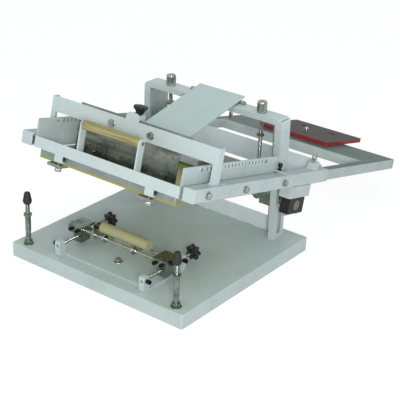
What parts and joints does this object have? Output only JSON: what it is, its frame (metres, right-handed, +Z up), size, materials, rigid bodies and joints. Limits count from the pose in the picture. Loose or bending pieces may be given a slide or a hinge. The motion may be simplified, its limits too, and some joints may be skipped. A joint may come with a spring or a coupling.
{
  "type": "tabletop screen printing press",
  "caption": "Tabletop screen printing press with a tilting head, sliding screen, fixed squeegee and a roller jig for round ware on a square base.",
  "frame": {"origin": "centre of the underside of the base", "axes": "+X to the operator's right, -Y towards the operator, +Z up; millimetres in the source, metres in the record"},
  "size_m": [0.5002, 0.9935, 0.393],
  "materials": {
    "paint": "semi-gloss powder coat",
    "zinc_steel": "zinc plated",
    "stainless": "brushed",
    "aluminium": "satin",
    "black_plastic": "satin",
    "black_steel": "black oxide",
    "rubber": "matt",
    "blade": "satin",
    "wood": "oiled",
    "cast_black": "black paint",
    "red_paint": "gloss",
    "mesh": "woven polyester",
    "beige_plastic": "satin"
  },
  "bodies": {
    "base": {"base_tray": "paint", "base_bottom_plate": "paint", "rear_crossbar": "paint", "column_left": "paint", "column_right": "paint", "portal_beam": "paint", "sloped_panel": "paint", "panel_fasteners": "zinc_steel", "post_sleeves": "zinc_steel", "jig_plate": "paint", "jig_fasteners": "zinc_steel"},
    "lift_carriage": {"lift_blocks": "zinc_steel", "pivot_pins": "zinc_steel"},
    "height_left": {"height_screw_left": "zinc_steel"},
    "height_right": {"height_screw_right": "zinc_steel"},
    "post_left": {"post_stud_left": "zinc_steel", "rubber_cap_left": "rubber"},
    "post_right": {"post_stud_right": "zinc_steel", "rubber_cap_right": "rubber"},
    "jig_carriage": {"jig_blocks": "zinc_steel", "jig_cross_bars": "zinc_steel", "jig_block_screws": "black_steel", "end_stop": "black_plastic"},
    "roller_1": {"roller_front_left": "zinc_steel"},
    "roller_2": {"roller_front_right": "zinc_steel"},
    "roller_3": {"roller_back_left": "zinc_steel"},
    "roller_4": {"roller_back_right": "zinc_steel"},
    "work": {"work_cylinder": "beige_plastic"},
    "jig_knob_left": {"jig_screw_left": "black_plastic"},
    "jig_knob_right": {"jig_screw_right": "black_plastic"},
    "head": {"arm_left": "paint", "arm_right": "paint", "pivot_bearings": "cast_black", "cross_member": "paint", "outer_rails": "zinc_steel", "head_bolts": "zinc_steel", "strap_screws": "black_steel", "bridge_bar": "paint"},
    "squeegee": {"squeegee_plate": "stainless", "squeegee_holder": "aluminium", "squeegee_rubber": "blade", "squeegee_screws": "zinc_steel"},
    "pressure": {"pressure_knob": "black_plastic"},
    "tail": {"tail_frame": "paint", "counterweight_plate": "red_paint", "counterweight_bolt": "zinc_steel"},
    "tail_screw_left": {"tail_clamp_left": "zinc_steel"},
    "tail_screw_right": {"tail_clamp_right": "zinc_steel"},
    "screen": {"side_plates": "paint", "index_strips": "zinc_steel", "carriage_screws": "zinc_steel", "front_bar": "paint", "rear_bar": "paint", "inner_rails": "zinc_steel", "handle_bar": "wood", "screen_frame": "aluminium", "screen_mesh": "mesh", "screen_clamps": "aluminium"},
    "screen_screw_left": {"clamp_screw_left": "zinc_steel"},
    "screen_screw_right": {"clamp_screw_right": "zinc_steel"}
  },
  "joints": [
    {"name": "head_height", "type": "slide", "parent": "base", "child": "lift_carriage", "axis": [0, 0, 1], "range_m": [0, 0.04]},
    {"name": "height_knob_left", "type": "hinge", "parent": "base", "child": "height_left", "pos_m": [-0.133, 0.188, 0.2], "axis": [0, 0, 1], "range_deg": [-9700, 10]},
    {"name": "height_knob_right", "type": "hinge", "parent": "base", "child": "height_right", "pos_m": [0.133, 0.188, 0.2], "axis": [0, 0, 1], "range_deg": [-9700, 10]},
    {"name": "head_tilt", "type": "hinge", "parent": "lift_carriage", "child": "head", "pos_m": [0, 0.188, 0.1325], "axis": [1, 0, 0], "range_deg": [0, 15.5]},
    {"name": "tail_extension", "type": "slide", "parent": "head", "child": "tail", "axis": [0, 0.9724, -0.2334], "range_m": [-0.04, 0.04]},
    {"name": "tail_clamp_left_turn", "type": "hinge", "parent": "head", "child": "tail_screw_left", "pos_m": [-0.228, 0.27747, 0.21386], "axis": [0, 0.2334, 0.9724], "range_deg": [0, 360]},
    {"name": "tail_clamp_right_turn", "type": "hinge", "parent": "head", "child": "tail_screw_right", "pos_m": [0.228, 0.27747, 0.21386], "axis": [0, 0.2334, 0.9724], "range_deg": [0, 360]},
    {"name": "screen_slide", "type": "slide", "parent": "head", "child": "screen", "axis": [0, -0.9724, 0.2334], "range_m": [0, 0.2]},
    {"name": "screen_clamp_left_turn", "type": "hinge", "parent": "screen", "child": "screen_screw_left", "pos_m": [-0.1285, -0.20678, 0.2427], "axis": [0, 0.2334, 0.9724], "range_deg": [0, 720]},
    {"name": "screen_clamp_right_turn", "type": "hinge", "parent": "screen", "child": "screen_screw_right", "pos_m": [0.1285, -0.20678, 0.2427], "axis": [0, 0.2334, 0.9724], "range_deg": [0, 720]},
    {"name": "squeegee_height", "type": "slide", "parent": "head", "child": "squeegee", "axis": [0, 0.2334, 0.9724], "range_m": [0, 0.006]},
    {"name": "pressure_turn", "type": "hinge", "parent": "squeegee", "child": "pressure", "pos_m": [0, -0.08911, 0.35329], "axis": [0, 0.2334, 0.9724], "range_deg": [-10, 1740]},
    {"name": "post_height_left", "type": "slide", "parent": "base", "child": "post_left", "axis": [0, 0, 1], "range_m": [-0.015, 0]},
    {"name": "post_height_right", "type": "slide", "parent": "base", "child": "post_right", "axis": [0, 0, 1], "range_m": [-0.015, 0]},
    {"name": "jig_travel", "type": "slide", "parent": "base", "child": "jig_carriage", "axis": [0, 1, 0], "range_m": [-0.02, 0.02]},
    {"name": "jig_knob_left_turn", "type": "hinge", "parent": "base", "child": "jig_knob_left", "pos_m": [-0.1235, -0.14, 0.06], "axis": [0, 1, 0], "range_deg": [-5800, 5800]},
    {"name": "jig_knob_right_turn", "type": "hinge", "parent": "base", "child": "jig_knob_right", "pos_m": [0.1235, -0.14, 0.06], "axis": [0, 1, 0], "range_deg": [-5800, 5800]},
    {"name": "work_spin", "type": "hinge", "parent": "jig_carriage", "child": "work", "pos_m": [0, -0.1385, 0.09847], "axis": [1, 0, 0], "continuous": true},
    {"name": "roller_front_left_spin", "type": "hinge", "parent": "jig_carriage", "child": "roller_1", "pos_m": [-0.042, -0.151, 0.08], "axis": [1, 0, 0], "continuous": true},
    {"name": "roller_front_right_spin", "type": "hinge", "parent": "jig_carriage", "child": "roller_2", "pos_m": [0.042, -0.151, 0.08], "axis": [1, 0, 0], "continuous": true},
    {"name": "roller_back_left_spin", "type": "hinge", "parent": "jig_carriage", "child": "roller_3", "pos_m": [-0.042, -0.126, 0.08], "axis": [1, 0, 0], "continuous": true},
    {"name": "roller_back_right_spin", "type": "hinge", "parent": "jig_carriage", "child": "roller_4", "pos_m": [0.042, -0.126, 0.08], "axis": [1, 0, 0], "continuous": true}
  ],
  "couplings": [
    {"joint": "height_knob_left", "follows": "head_height", "rad_per_m": -4188.8},
    {"joint": "height_knob_right", "follows": "head_height", "rad_per_m": -4188.8},
    {"joint": "pressure_turn", "follows": "squeegee_height", "rad_per_m": 5026.5},
    {"joint": "jig_knob_left_turn", "follows": "jig_travel", "rad_per_m": -5026.5},
    {"joint": "jig_knob_right_turn", "follows": "jig_travel", "rad_per_m": -5026.5}
  ]
}
